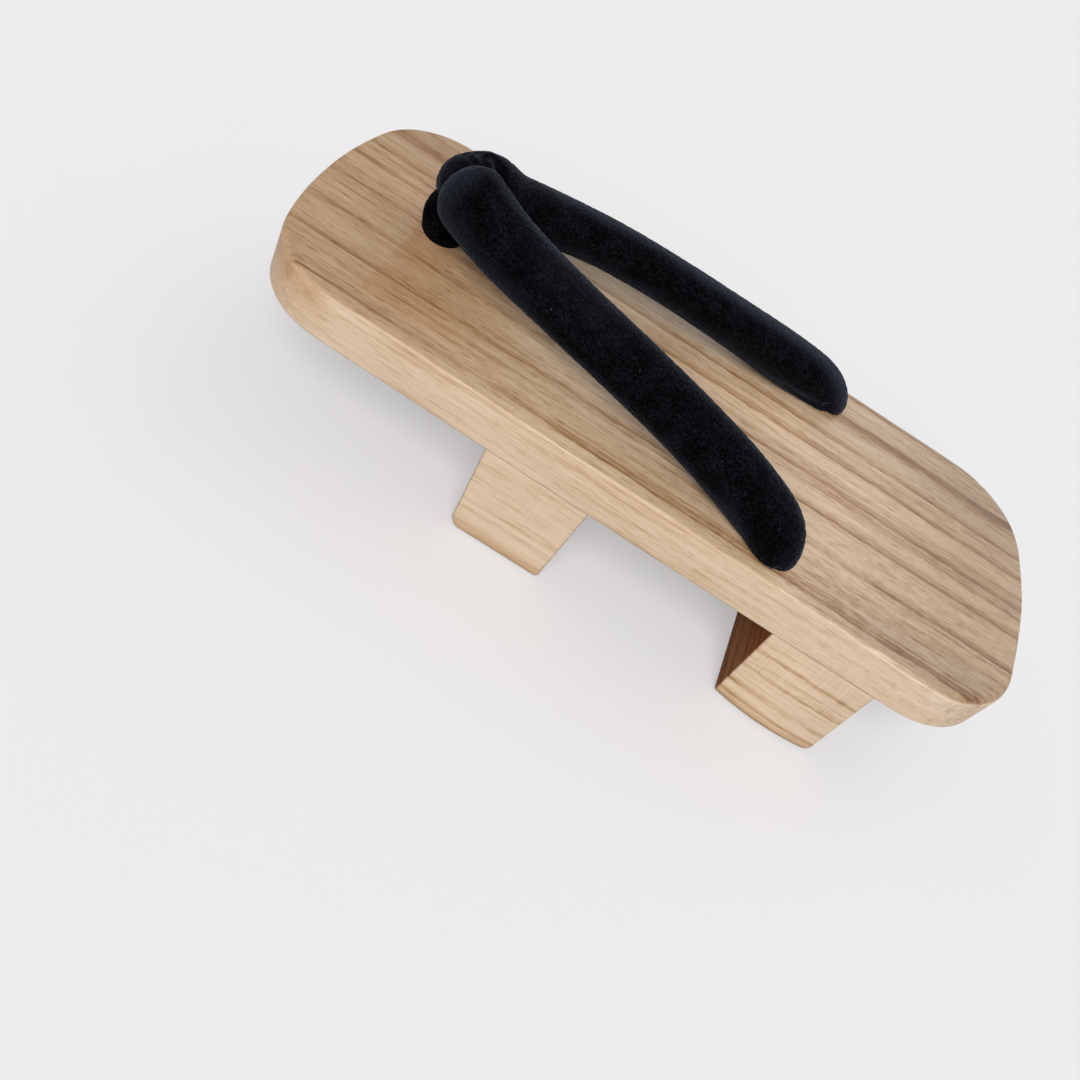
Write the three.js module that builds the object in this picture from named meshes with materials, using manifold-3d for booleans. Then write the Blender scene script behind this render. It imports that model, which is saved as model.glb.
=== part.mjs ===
// Geta sandal: a wooden foot board on two glued teeth, with a padded velvet V strap and toe post.
// Millimetres. +Y points to the toe, +X to the wearer's right and +Z up.
// The origin lies on the floor, under the middle of the board.

import * as THREE from "three";
import { mergeVertices } from "three/addons/utils/BufferGeometryUtils.js";
import Module from "manifold-3d";

const wasm = await Module();
wasm.setup();

// Foot board: widths are measured where the side lines would reach the ends and at mid length
const BOARD_LENGTH = 250;
const BOARD_THICKNESS = 15.8;
const TOE_WIDTH = 99.4;
const WAIST_WIDTH = 104.6;
const HEEL_WIDTH = 105;
const TOE_END_RADIUS = 155;
const HEEL_END_RADIUS = 204;
const TOE_CORNER_RADIUS = 25;
const HEEL_CORNER_RADIUS = 28;
const TOP_ARRIS_RADIUS = 1.9;
const BOTTOM_ARRIS_RADIUS = 2.5;

// Teeth: front and rear are the Y places of a tooth's two faces under the board, and each face
// leans in by its own lean on the way down to the floor
const TOOTH_HEIGHT = 33.5;
const TOOTH_SIDE_INSET = 0.6;
const TOOTH_EDGE_RADIUS = 1.5;
const TOOTH_FOOT_RADIUS = 1.6;
const TEETH = [
  { name: "tooth_front", front: 42.3, rear: 8.4, frontLean: 2, rearLean: 1.1 },
  { name: "tooth_rear", front: -53.4, rear: -88.7, frontLean: 1.2, rearLean: 0 },
];

// Strap holes and the gap that every soft piece keeps to its neighbours
const HOLE_RADIUS = 6.2;
const GAP = 0.3;
const FRONT_HOLE = { along: 87.2, out: 0.8 };

// Sections of a padded strap from behind the meeting point back to its hole: along is Y, out is
// the distance from the middle plane, up is the height above the board
const STRAP_SECTIONS = [
  { along: 64, out: 13, up: 16.7, halfWidth: 10.3, halfThick: 7.8 },
  { along: 44, out: 19.5, up: 16.2, halfWidth: 9.8, halfThick: 7.4 },
  { along: 21, out: 24.6, up: 14.6, halfWidth: 9.7, halfThick: 7.4 },
  { along: -3, out: 29.2, up: 11.9, halfWidth: 9.6, halfThick: 7.8 },
  { along: -23, out: 34, up: 8.6, halfWidth: 9.6, halfThick: 8.3 },
  { along: -36.5, out: 38.7, up: 4.9, halfWidth: 9.2, halfThick: 8 },
];
const STRAP_MOUTH = { ahead: 1, inward: 0.2, halfWidth: 8.4, halfThick: 7.5 };

// Ends of the two straps: at the tip the right one wraps round in front of the left one
const STRAPS = [
  {
    side: -1,
    rearHole: { along: -40.8, out: 40.6 },
    tipLength: 8.5,
    frontSections: [
      { along: 82.1, out: 6.1, up: 19.3, halfWidth: 10.5, halfThick: 10.2 },
      { along: 73.5, out: 9.5, up: 17.6, halfWidth: 10.4, halfThick: 8.8 },
    ],
  },
  {
    side: 1,
    rearHole: { along: -43.6, out: 41.4 },
    tipLength: 8.5,
    frontSections: [
      { along: 87, out: 3.6, up: 15.2, halfWidth: 10, halfThick: 9.6 },
      { along: 82.6, out: 5.7, up: 18.2, halfWidth: 10.6, halfThick: 9.6 },
      { along: 74, out: 9.1, up: 17, halfWidth: 10.2, halfThick: 8 },
    ],
  },
];
const [leftStrap, rightStrap] = STRAPS;
const STRAP_LEAN = 0.39;
const STRAP_OUTWARD = new THREE.Vector3(1, 0.25, 0);

// Toe post above the board, from its top, which is hidden in the straps, down to the hole
const POST_SECTIONS = [
  { along: 87.2, out: 0.8, up: 11, halfWidth: 5.8, halfThick: 6.7 },
  { along: 88.4, out: 0.8, up: 6.5, halfWidth: 6.2, halfThick: 6.9 },
  { along: 87.6, out: 0.8, up: 2, halfWidth: 6, halfThick: 6.6 },
];
const POST_TOP_LENGTH = 3.5;
const POST_OUTWARD = new THREE.Vector3(1, 0, 0);

// Tail through the board and the plain knot that holds it underneath
const KNOT_RADIUS = 7.4;
const KNOT_SHOULDER = 1.5;
const KNOT_END_LENGTH = 4;

// Facets
const ARC_STEPS = { side: 10, corner: 9, end: 10 };
const ARRIS_STEPS = 4;
const CORNER_STEPS = 3;
const HOLE_SIDES = 32;
const SECTION_SIDES = 24;
const STEPS_PER_SECTION = 4;
const DOME_STEPS = 5;

const QUARTER_TURN = Math.PI / 2;
const BOARD_TOP = TOOTH_HEIGHT + BOARD_THICKNESS;

// Finishes
const wood = new THREE.MeshStandardMaterial({ color: 0xcfb38d, roughness: 0.6, metalness: 0 });
const toothWood = new THREE.MeshStandardMaterial({ color: 0xd6bc97, roughness: 0.65, metalness: 0 });
const velvet = new THREE.MeshStandardMaterial({ color: 0x0c0c10, roughness: 0.95, metalness: 0 });

// Closed skin over a stack of rings that turn counter-clockwise about the way they are stacked
function skinOverRings(rings) {
  const sides = rings[0].length;
  const positions = rings.flat().flatMap((point) => point.toArray());
  const middleOf = (ring) => {
    const sum = ring.reduce((total, point) => total.add(point), new THREE.Vector3());
    return sum.divideScalar(sides).toArray();
  };
  const startPole = rings.length * sides;
  const endPole = startPole + 1;
  positions.push(...middleOf(rings[0]), ...middleOf(rings.at(-1)));
  const triangles = [];
  for (let side = 0; side < sides; side += 1) {
    const next = (side + 1) % sides;
    triangles.push(startPole, next, side);
    for (let ring = 0; ring + 1 < rings.length; ring += 1) {
      const low = ring * sides;
      const high = low + sides;
      triangles.push(low + side, low + next, high + next, low + side, high + next, high + side);
    }
    const last = (rings.length - 1) * sides;
    triangles.push(endPole, last + side, last + next);
  }
  const geometry = new THREE.BufferGeometry();
  geometry.setAttribute("position", new THREE.Float32BufferAttribute(positions, 3));
  geometry.setIndex(triangles);
  return geometry;
}

// Solid for joining and cutting, from a closed geometry
function solidFrom(geometry) {
  const bare = geometry.clone();
  bare.deleteAttribute("normal");
  bare.deleteAttribute("uv");
  const merged = mergeVertices(bare);
  const mesh = new wasm.Mesh({
    numProp: 3,
    vertProperties: new Float32Array(merged.attributes.position.array),
    triVerts: new Uint32Array(merged.index.array),
  });
  return new wasm.Manifold(mesh);
}

// Named mesh from a finished solid
function meshFrom(name, solid, material) {
  const result = solid.getMesh();
  const geometry = new THREE.BufferGeometry();
  geometry.setAttribute("position", new THREE.BufferAttribute(result.vertProperties, 3));
  geometry.setIndex(new THREE.BufferAttribute(result.triVerts, 1));
  geometry.computeVertexNormals();
  const mesh = new THREE.Mesh(geometry, material);
  mesh.name = name;
  return mesh;
}

// Circle through three points of the plan
function circleThrough(a, b, c) {
  const ab = b.clone().sub(a);
  const ac = c.clone().sub(a);
  const twiceArea = 2 * ab.cross(ac);
  const centre = new THREE.Vector2(
    ac.y * ab.lengthSq() - ab.y * ac.lengthSq(),
    ab.x * ac.lengthSq() - ac.x * ab.lengthSq(),
  );
  centre.divideScalar(twiceArea).add(a);
  return { centre, radius: centre.distanceTo(a) };
}

// Centre of a corner arc that runs smoothly into two circles from inside them, towards an end along Y
function cornerCentre(first, second, radius, towards) {
  const reachFirst = first.radius - radius;
  const reachSecond = second.radius - radius;
  const between = second.centre.clone().sub(first.centre);
  const distance = between.length();
  const along = (distance ** 2 + reachFirst ** 2 - reachSecond ** 2) / (2 * distance);
  const across = Math.sqrt(reachFirst ** 2 - along ** 2);
  const direction = between.divideScalar(distance);
  const normal = new THREE.Vector2(-direction.y, direction.x);
  const choices = [1, -1].map((sign) =>
    first.centre.clone().addScaledVector(direction, along).addScaledVector(normal, sign * across),
  );
  return towards * choices[0].y > towards * choices[1].y ? choices[0] : choices[1];
}

const mirrored = (point) => new THREE.Vector2(-point.x, point.y);

// Circles that the board's outline runs along
const rightSide = circleThrough(
  new THREE.Vector2(TOE_WIDTH / 2, BOARD_LENGTH / 2),
  new THREE.Vector2(WAIST_WIDTH / 2, 0),
  new THREE.Vector2(HEEL_WIDTH / 2, -BOARD_LENGTH / 2),
);
const endCircle = (towards, radius) => ({
  centre: new THREE.Vector2(0, towards * (BOARD_LENGTH / 2 - radius)),
  radius,
});
const toeEnd = endCircle(1, TOE_END_RADIUS);
const heelEnd = endCircle(-1, HEEL_END_RADIUS);

// Half width of the board at a place along it, away from its corners
function boardHalfWidth(along) {
  const { centre, radius } = rightSide;
  return centre.x + Math.sqrt(radius ** 2 - (along - centre.y) ** 2);
}

// Arcs of the board's outline, counter-clockwise from the right side
function boardArcs() {
  const leftSide = { centre: mirrored(rightSide.centre), radius: rightSide.radius };
  const toeRight = cornerCentre(rightSide, toeEnd, TOE_CORNER_RADIUS, 1);
  const heelRight = cornerCentre(rightSide, heelEnd, HEEL_CORNER_RADIUS, -1);
  const toeLeft = mirrored(toeRight);
  const heelLeft = mirrored(heelRight);
  const angleTo = (circle, corner) => corner.clone().sub(circle.centre).angle();
  const long = (circle, from, to, steps) => ({
    centre: circle.centre,
    radius: circle.radius,
    start: angleTo(circle, from),
    end: angleTo(circle, to),
    steps,
  });
  const round = (centre, radius, before, after) => ({
    centre,
    radius,
    start: angleTo(before, centre),
    end: angleTo(after, centre),
    steps: ARC_STEPS.corner,
  });
  return [
    long(rightSide, heelRight, toeRight, ARC_STEPS.side),
    round(toeRight, TOE_CORNER_RADIUS, rightSide, toeEnd),
    long(toeEnd, toeRight, toeLeft, ARC_STEPS.end),
    round(toeLeft, TOE_CORNER_RADIUS, toeEnd, leftSide),
    long(leftSide, toeLeft, heelLeft, ARC_STEPS.side),
    round(heelLeft, HEEL_CORNER_RADIUS, leftSide, heelEnd),
    long(heelEnd, heelLeft, heelRight, ARC_STEPS.end),
    round(heelRight, HEEL_CORNER_RADIUS, heelEnd, rightSide),
  ];
}

// One level of the board: its outline drawn in by an inset, at a height
function boardRing(arcs, inset, height) {
  return arcs.flatMap(({ centre, radius, start, end, steps }) => {
    const sweep = THREE.MathUtils.euclideanModulo(end - start, 2 * Math.PI);
    return Array.from({ length: steps }, (_, step) => {
      const angle = start + (sweep * step) / steps;
      const reach = radius - inset;
      return new THREE.Vector3(
        centre.x + reach * Math.cos(angle),
        centre.y + reach * Math.sin(angle),
        height,
      );
    });
  });
}

// Levels of a quarter-round edge: how far it draws in and how far it lies from its flat face
function arrisLevels(radius) {
  return Array.from({ length: ARRIS_STEPS + 1 }, (_, step) => {
    const angle = (step / ARRIS_STEPS) * QUARTER_TURN;
    return { inset: radius * (1 - Math.sin(angle)), depth: radius * (1 - Math.cos(angle)) };
  });
}

// Round bar upright through the board, at a strap hole
function holeBar(place, side, radius) {
  const bar = new THREE.CylinderGeometry(radius, radius, 2 * BOARD_THICKNESS, HOLE_SIDES);
  bar.rotateX(QUARTER_TURN);
  bar.translate(side * place.out, place.along, BOARD_TOP - BOARD_THICKNESS / 2);
  return solidFrom(bar);
}

// Takes the three strap holes out of a board
function pierced(board, radius) {
  return board
    .subtract(holeBar(FRONT_HOLE, 1, radius))
    .subtract(holeBar(leftStrap.rearHole, leftStrap.side, radius))
    .subtract(holeBar(rightStrap.rearHole, rightStrap.side, radius));
}

// Foot board with eased edges
function makeBoard() {
  const arcs = boardArcs();
  const lower = arrisLevels(BOTTOM_ARRIS_RADIUS).map(({ inset, depth }) =>
    boardRing(arcs, inset, TOOTH_HEIGHT + depth),
  );
  const upper = arrisLevels(TOP_ARRIS_RADIUS)
    .reverse()
    .map(({ inset, depth }) => boardRing(arcs, inset, BOARD_TOP - depth));
  return pierced(solidFrom(skinOverRings([...lower, ...upper])), HOLE_RADIUS);
}

// Room that the board takes from the soft pieces, a gap larger all round
function boardRoom() {
  const arcs = boardArcs();
  const rings = [TOOTH_HEIGHT - GAP, BOARD_TOP + GAP].map((height) => boardRing(arcs, -GAP, height));
  return pierced(solidFrom(skinOverRings(rings)), HOLE_RADIUS - GAP);
}

// One level of a tooth: a four-sided plan with rounded edges, at a height
function toothRing(tooth, inset, height) {
  const down = 1 - height / TOOTH_HEIGHT;
  const draw = inset + TOOTH_EDGE_RADIUS;
  const front = tooth.front - tooth.frontLean * down - draw;
  const rear = tooth.rear + tooth.rearLean * down + draw;
  const halfWidthAt = (along) => boardHalfWidth(along) - TOOTH_SIDE_INSET - draw;
  const corners = [
    { x: halfWidthAt(rear), y: rear, turn: -1 },
    { x: halfWidthAt(front), y: front, turn: 0 },
    { x: -halfWidthAt(front), y: front, turn: 1 },
    { x: -halfWidthAt(rear), y: rear, turn: 2 },
  ];
  return corners.flatMap(({ x, y, turn }) =>
    Array.from({ length: CORNER_STEPS + 1 }, (_, step) => {
      const angle = (turn + step / CORNER_STEPS) * QUARTER_TURN;
      return new THREE.Vector3(
        x + TOOTH_EDGE_RADIUS * Math.cos(angle),
        y + TOOTH_EDGE_RADIUS * Math.sin(angle),
        height,
      );
    }),
  );
}

// Glued tooth with a rounded foot
function makeTooth(tooth) {
  const foot = arrisLevels(TOOTH_FOOT_RADIUS).map(({ inset, depth }) => toothRing(tooth, inset, depth));
  return solidFrom(skinOverRings([...foot, toothRing(tooth, 0, TOOTH_HEIGHT)]));
}

// Sections of a tail that goes down through a hole and ends in a knot
function tailSections({ along, out }) {
  const tail = (up, radius) => ({ along, out, up, halfWidth: radius, halfThick: radius });
  return [
    tail(-BOARD_THICKNESS / 3, HOLE_RADIUS),
    tail(KNOT_SHOULDER - BOARD_THICKNESS, HOLE_RADIUS),
    tail(-KNOT_SHOULDER - BOARD_THICKNESS, KNOT_RADIUS),
  ];
}

// Padded tube through oval sections, with a dome on each end
function paddedTube({ sections, side, outward, lean, startLength, endLength, swell }) {
  const path = new THREE.CatmullRomCurve3(
    sections.map(({ along, out, up }) => new THREE.Vector3(side * out, along, BOARD_TOP + up)),
  );
  const sizes = new THREE.CatmullRomCurve3(
    sections.map(({ halfWidth, halfThick }) => new THREE.Vector3(halfWidth + swell, halfThick + swell, 0)),
  );
  const reference = new THREE.Vector3(side * outward.x, outward.y, outward.z);
  const oval = (place, scale, shift) => {
    const tangent = path.getTangent(place);
    const wide = reference.clone().addScaledVector(tangent, -reference.dot(tangent)).normalize();
    wide.applyAxisAngle(tangent, -side * lean);
    const thick = tangent.clone().cross(wide);
    const size = sizes.getPoint(place);
    const middle = path.getPoint(place).addScaledVector(tangent, shift);
    return Array.from({ length: SECTION_SIDES }, (_, step) => {
      const angle = (step / SECTION_SIDES) * 2 * Math.PI;
      return middle
        .clone()
        .addScaledVector(wide, scale * size.x * Math.cos(angle))
        .addScaledVector(thick, scale * size.y * Math.sin(angle));
    });
  };
  const domeStep = QUARTER_TURN / DOME_STEPS;
  const domeAngles = Array.from({ length: DOME_STEPS }, (_, step) => step * domeStep + domeStep / 2);
  const startDome = domeAngles.map((angle) =>
    oval(0, Math.sin(angle), -(startLength + swell) * Math.cos(angle)),
  );
  const endDome = domeAngles
    .toReversed()
    .map((angle) => oval(1, Math.sin(angle), (endLength + swell) * Math.cos(angle)));
  const steps = (sections.length - 1) * STEPS_PER_SECTION;
  const body = Array.from({ length: steps + 1 }, (_, step) => oval(step / steps, 1, 0));
  return solidFrom(skinOverRings([...startDome, ...body, ...endDome]));
}

// Toe post with its tail and knot, swollen where it is used to make room for itself
function makePost(swell) {
  return paddedTube({
    sections: [...POST_SECTIONS, ...tailSections(FRONT_HOLE)],
    side: 1,
    outward: POST_OUTWARD,
    lean: 0,
    startLength: POST_TOP_LENGTH,
    endLength: KNOT_END_LENGTH,
    swell,
  });
}

// One padded strap, from its tip to the knot under its hole
function makeStrap({ side, rearHole, tipLength, frontSections }) {
  const { ahead, inward, halfWidth, halfThick } = STRAP_MOUTH;
  const mouth = { along: rearHole.along + ahead, out: rearHole.out - inward, up: 0, halfWidth, halfThick };
  return paddedTube({
    sections: [...frontSections, ...STRAP_SECTIONS, mouth, ...tailSections(rearHole)],
    side,
    outward: STRAP_OUTWARD,
    lean: STRAP_LEAN,
    startLength: tipLength,
    endLength: KNOT_END_LENGTH,
    swell: 0,
  });
}

// V strap: both padded straps joined where they meet, seated on the board, its holes and the toe post
function makeStraps() {
  const joined = makeStrap(leftStrap).add(makeStrap(rightStrap));
  return joined.subtract(boardRoom()).subtract(makePost(GAP));
}

const geta = new THREE.Group();
geta.add(meshFrom("dai", makeBoard(), wood));
for (const tooth of TEETH) {
  geta.add(meshFrom(tooth.name, makeTooth(tooth), toothWood));
}
geta.add(meshFrom("hanao", makeStraps(), velvet));
geta.add(meshFrom("maetsubo", makePost(0).subtract(boardRoom()), velvet));

export default geta;
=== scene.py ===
# Geta sandal: planed wooden board and teeth, padded black velvet straps and toe post.
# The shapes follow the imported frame: +Y towards the toe, +X to the wearer's right, +Z up.

import math

import bpy
import bmesh
import numpy as np
from mathutils import Matrix, Vector


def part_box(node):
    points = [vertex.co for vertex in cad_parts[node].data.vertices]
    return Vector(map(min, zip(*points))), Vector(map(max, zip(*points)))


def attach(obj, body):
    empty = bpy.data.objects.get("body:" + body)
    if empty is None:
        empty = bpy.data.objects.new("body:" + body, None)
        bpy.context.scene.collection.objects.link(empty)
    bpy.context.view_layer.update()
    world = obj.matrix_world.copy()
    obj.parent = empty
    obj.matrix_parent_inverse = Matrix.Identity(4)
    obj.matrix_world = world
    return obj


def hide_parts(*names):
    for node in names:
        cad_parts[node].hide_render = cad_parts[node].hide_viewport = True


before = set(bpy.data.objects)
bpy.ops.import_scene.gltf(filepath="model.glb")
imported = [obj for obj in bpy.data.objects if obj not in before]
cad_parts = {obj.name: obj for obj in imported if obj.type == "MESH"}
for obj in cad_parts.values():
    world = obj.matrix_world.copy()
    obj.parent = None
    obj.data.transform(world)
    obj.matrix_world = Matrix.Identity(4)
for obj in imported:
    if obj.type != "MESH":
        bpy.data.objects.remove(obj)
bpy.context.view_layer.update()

# Sizes are in millimetres and become metres where meshes are made
MM = 0.001

# Foot board: its two faces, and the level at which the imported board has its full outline
board_low, board_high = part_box("dai")
TOOTH_HEIGHT = board_low.z / MM
BOARD_TOP = board_high.z / MM
OUTLINE_LEVEL = 47.4
LEVEL_TOLERANCE = 0.02
OUTLINE_STEP = 1.5

# Edges of the board: a thin uneven arris on top, rubbed rounder at the left heel and toe corners
TOP_ARRIS = 0.6
HEEL_ARRIS = 2.2
TOE_ARRIS = 0.9
BOTTOM_ARRIS = 1.0
ARRIS_STEPS = 8
ARRIS_WEAR = 0.3
WEAR_WAVES = [
    {"beat": 5, "start": 0.4, "size": 0.5},
    {"beat": 9, "start": 1.9, "size": 0.35},
    {"beat": 17, "start": 4.1, "size": 0.3},
    {"beat": 31, "start": 2.6, "size": 0.25},
    {"beat": 53, "start": 0.9, "size": 0.2},
]
HEEL_RUB = {"along": (-55, -112), "across": (10, -30)}
TOE_RUB = {"along": (86, 106), "across": (-20, -40)}

# Shading: rim inside each round edge that keeps a flat face flat, and the angle of a hard edge
FLAT_MARGIN = 0.6
SHARP_ANGLE = math.radians(35)

# Strap holes: across is X and along is Y
HOLE_RADIUS = 6.2
HOLE_SIDES = 64
HOLES = [
    {"across": 0.8, "along": 87.2},
    {"across": -40.6, "along": -40.8},
    {"across": 41.4, "along": -43.6},
]

# Teeth: how far the front and rear faces lean in at the floor, radius of the foot edges, how far the sides
# flare out at the floor, and how far they bow out there at mid length
TOOTH_EDGE = 0.8
TOOTH_STEPS = 6
SIDE_STEPS = 10
FOOT_STEPS = 14
TEETH = [
    {
        "node": "tooth_front",
        "front": {"lean": 2, "foot": 4.5, "flare": 0},
        "rear": {"lean": 1.1, "foot": 1.6, "flare": 0},
        "side_foot": 1.6,
        "bow": 0,
    },
    {
        "node": "tooth_rear",
        "front": {"lean": 1.2, "foot": 1.6, "flare": 0.4},
        "rear": {"lean": 0, "foot": 4, "flare": 1.9},
        "side_foot": 2.6,
        "bow": 1.6,
    },
]

# Velvet: cell of the fine skin, how often it is smoothed and how far the nap stands up
MERGE_REACH = 0.001
STRAP_CELL = 0.6
POST_CELL = 0.4
SMOOTH_ROUNDS = 6
SMOOTH_FACTOR = 0.5
NAP_HEIGHT = 0.14
NAP_SEED = 11

# Folds of the straps: path of each, half width and depth
CREASES = [
    {"path": [(7.0, 89.0, 74.4), (3.1, 85.8, 76.4), (-1.5, 82.8, 75.6)], "width": 2.4, "depth": 1.0},
    {"path": [(6.0, 84.4, 76.8), (3.0, 81.3, 76.7), (-0.6, 76.8, 75.0)], "width": 2.6, "depth": 1.2},
    {"path": [(4.6, 91.4, 73.2), (2.4, 89.1, 74.8), (-0.6, 85.7, 75.0)], "width": 1.8, "depth": 0.5},
    {"path": [(-47.0, -43.6, 48.8), (-47.4, -42.4, 50.2)], "width": 1.6, "depth": 0.9},
    {"path": [(27.0, -26.9, 53.4), (28.9, -32.0, 52.5), (30.6, -38.2, 52.2)], "width": 2.6, "depth": 0.5},
    {"path": [(33.4, -45.2, 49.6), (31.9, -42.6, 53.0)], "width": 2.2, "depth": 0.8},
]

# Bands of painted sheen, where the velvet is painted paler as light catches its nap: path, reach and how
# much paler
PAINTED_SHEEN_BANDS = [
    {
        "path": [(14.5, 63, 74.5), (18.5, 49, 74), (23, 34, 73), (25.5, 16, 71.5)],
        "reach": 5.5,
        "light": 0.6,
    },
    {
        "path": [
            (25.5, 16, 71.5), (29, -3, 69.5), (32.5, -18, 67.2),
            (36, -32, 64), (36.5, -41, 59.5), (38, -48, 53),
        ],
        "reach": 5.8,
        "light": 0.9,
    },
    {"path": [(-15.0, 87.8, 68.4), (-13.8, 88.3, 71.2), (-9.9, 86.7, 76.1)], "reach": 7.5, "light": 0.68},
    {"path": [(-16.4, 85.6, 66.9), (-19.9, 74.5, 63.7), (-25.8, 55.4, 62.5)], "reach": 5.5, "light": 0.3},
    {"path": [(-6.3, 75.3, 77.2), (-8.2, 65, 74.3), (-13.3, 49.6, 73.3)], "reach": 3, "light": 0.35},
    {"path": [(-42.8, -21.4, 54.2), (-43.8, -27.8, 51.3)], "reach": 6, "light": 0.4},
    {"path": [(-17.5, 54, 71.5), (-23, 32, 70)], "reach": 11, "light": 0.14},
]


def add_object(name, data):
    """New object in the scene."""
    piece = bpy.data.objects.new(name, data)
    bpy.context.scene.collection.objects.link(piece)
    return piece


def mesh_object(name, points, faces):
    """Mesh object from points in millimetres."""
    mesh = bpy.data.meshes.new(name)
    mesh.from_pydata([tuple(MM * value for value in point) for point in points], [], faces)
    return add_object(name, mesh)


def settle(piece):
    """Turns a piece's modifiers into its mesh."""
    graph = bpy.context.evaluated_depsgraph_get()
    mesh = bpy.data.meshes.new_from_object(piece.evaluated_get(graph))
    piece.modifiers.clear()
    piece.data = mesh


def shade_by_angle(piece):
    """Smooth shading that keeps the hard edges."""
    piece.data.shade_smooth()
    piece.data.set_sharp_from_angle(angle=SHARP_ANGLE)


def round_faces(count, levels):
    """Faces between rings of points that are stacked in order, each ring with the same count."""
    faces = []
    for low in range(0, (levels - 1) * count, count):
        high = low + count
        for side in range(count):
            after = (side + 1) % count
            faces.append([low + side, low + after, high + after, high + side])
    return faces


def skin_over(name, rings):
    """Closed skin over a stack of counter-clockwise rings, from the lowest to the highest."""
    count = len(rings[0])
    points = [point for ring in rings for point in ring]
    bottom = list(reversed(range(count)))
    top = list(range(len(points) - count, len(points)))
    return mesh_object(name, points, [bottom, *round_faces(count, len(rings)), top])


def level_ring(centre, radius, height, sides):
    """Level round ring of points."""
    angles = [2 * math.pi * side / sides for side in range(sides)]
    return [
        (centre[0] + radius * math.cos(angle), centre[1] + radius * math.sin(angle), height)
        for angle in angles
    ]


def arris_levels(radius, steps):
    """How far each level of a quarter-round edge draws in, and how far it lies from the flat face."""
    levels = []
    for step in range(steps + 1):
        angle = step / steps * math.pi / 2
        levels.append((radius * (1 - math.sin(angle)), radius * (1 - math.cos(angle))))
    return levels


def closed_curve(corners, step):
    """Smooth closed curve through plan points, with about one point each step."""
    points = []
    count = len(corners)
    for place in range(count):
        before, start, end, after = (corners[(place + shift) % count] for shift in (-1, 0, 1, 2))
        chords = ((before, start), (start, end), (end, after))
        lead, span, trail = (math.dist(*chord) ** 0.5 for chord in chords)
        leave = ((start - before) / lead - (end - before) / (lead + span) + (end - start) / span) * span
        reach = ((end - start) / span - (after - start) / (span + trail) + (after - end) / trail) * span
        pieces = max(1, round(math.dist(start, end) / step))
        for part in range(pieces):
            t = part / pieces
            points.append(
                (2 * t**3 - 3 * t**2 + 1) * start
                + (t**3 - 2 * t**2 + t) * leave
                + (3 * t**2 - 2 * t**3) * end
                + (t**3 - t**2) * reach
            )
    return np.array(points)


def board_outline():
    """Full outline of the board in millimetres, counter-clockwise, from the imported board."""
    corners = set()
    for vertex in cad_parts["dai"].data.vertices:
        if abs(vertex.co.z / MM - OUTLINE_LEVEL) < LEVEL_TOLERANCE:
            corners.add((round(vertex.co.x / MM, 2), round(vertex.co.y / MM, 2)))
    ordered = sorted(corners, key=lambda corner: math.atan2(corner[1], corner[0]))
    return closed_curve([np.array(corner) for corner in ordered], OUTLINE_STEP)


def smooth_step(value, start, end):
    """Smooth step from 0 to 1 between two bounds."""
    share = np.clip((value - start) / (end - start), 0, 1)
    return share * share * (3 - 2 * share)


def hand_wear(outline):
    """Size of the top arris around the outline: thin, uneven, and rubbed rounder at the left corners."""
    across, along = outline.T
    turn = np.linspace(0, 2 * math.pi, len(outline), endpoint=False)
    waves = sum(wave["size"] * np.sin(wave["beat"] * turn + wave["start"]) for wave in WEAR_WAVES)
    heel, toe = (
        smooth_step(along, *rub["along"]) * smooth_step(across, *rub["across"])
        for rub in (HEEL_RUB, TOE_RUB)
    )
    return TOP_ARRIS * (1 + ARRIS_WEAR * waves) + HEEL_ARRIS * heel + TOE_ARRIS * toe


def make_board():
    """Foot board with its eased edges and strap holes."""
    outline = board_outline()
    along = np.roll(outline, -1, axis=0) - np.roll(outline, 1, axis=0)
    along /= np.linalg.norm(along, axis=1)[:, None]
    inward = np.stack([-along[:, 1], along[:, 0]], axis=1)
    top_arris = hand_wear(outline)

    def ring(inset, heights):
        plan = outline + inward * np.reshape(inset, (-1, 1))
        return [(x, y, height) for (x, y), height in zip(plan, np.broadcast_to(heights, len(outline)))]

    low = [ring(inset, TOOTH_HEIGHT + depth) for inset, depth in arris_levels(BOTTOM_ARRIS, ARRIS_STEPS)]
    high = [
        ring(inset * top_arris, BOARD_TOP - depth * top_arris)
        for inset, depth in arris_levels(1, ARRIS_STEPS)
    ]
    rings = [
        ring(BOTTOM_ARRIS + FLAT_MARGIN, TOOTH_HEIGHT),
        *low,
        *reversed(high),
        ring(top_arris + FLAT_MARGIN, BOARD_TOP),
    ]
    board = skin_over("board", rings)
    cutters = [hole_bar(hole) for hole in HOLES]
    for cutter in cutters:
        cut = board.modifiers.new("hole", "BOOLEAN")
        cut.operation = "DIFFERENCE"
        cut.object = cutter
    settle(board)
    for cutter in cutters:
        bpy.data.objects.remove(cutter)
    shade_by_angle(board)
    return board


def hole_bar(hole):
    """Round bar upright through the board, at a strap hole."""
    centre = (hole["across"], hole["along"])
    heights = (TOOTH_HEIGHT - HOLE_RADIUS, BOARD_TOP + HOLE_RADIUS)
    rings = [level_ring(centre, HOLE_RADIUS, height, HOLE_SIDES) for height in heights]
    return skin_over("hole_bar", rings)


def foot_inset(radius, height):
    """How far a rounded foot draws in at a height."""
    short = max(0.0, radius - height)
    return radius - math.sqrt(radius**2 - short**2)


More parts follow.
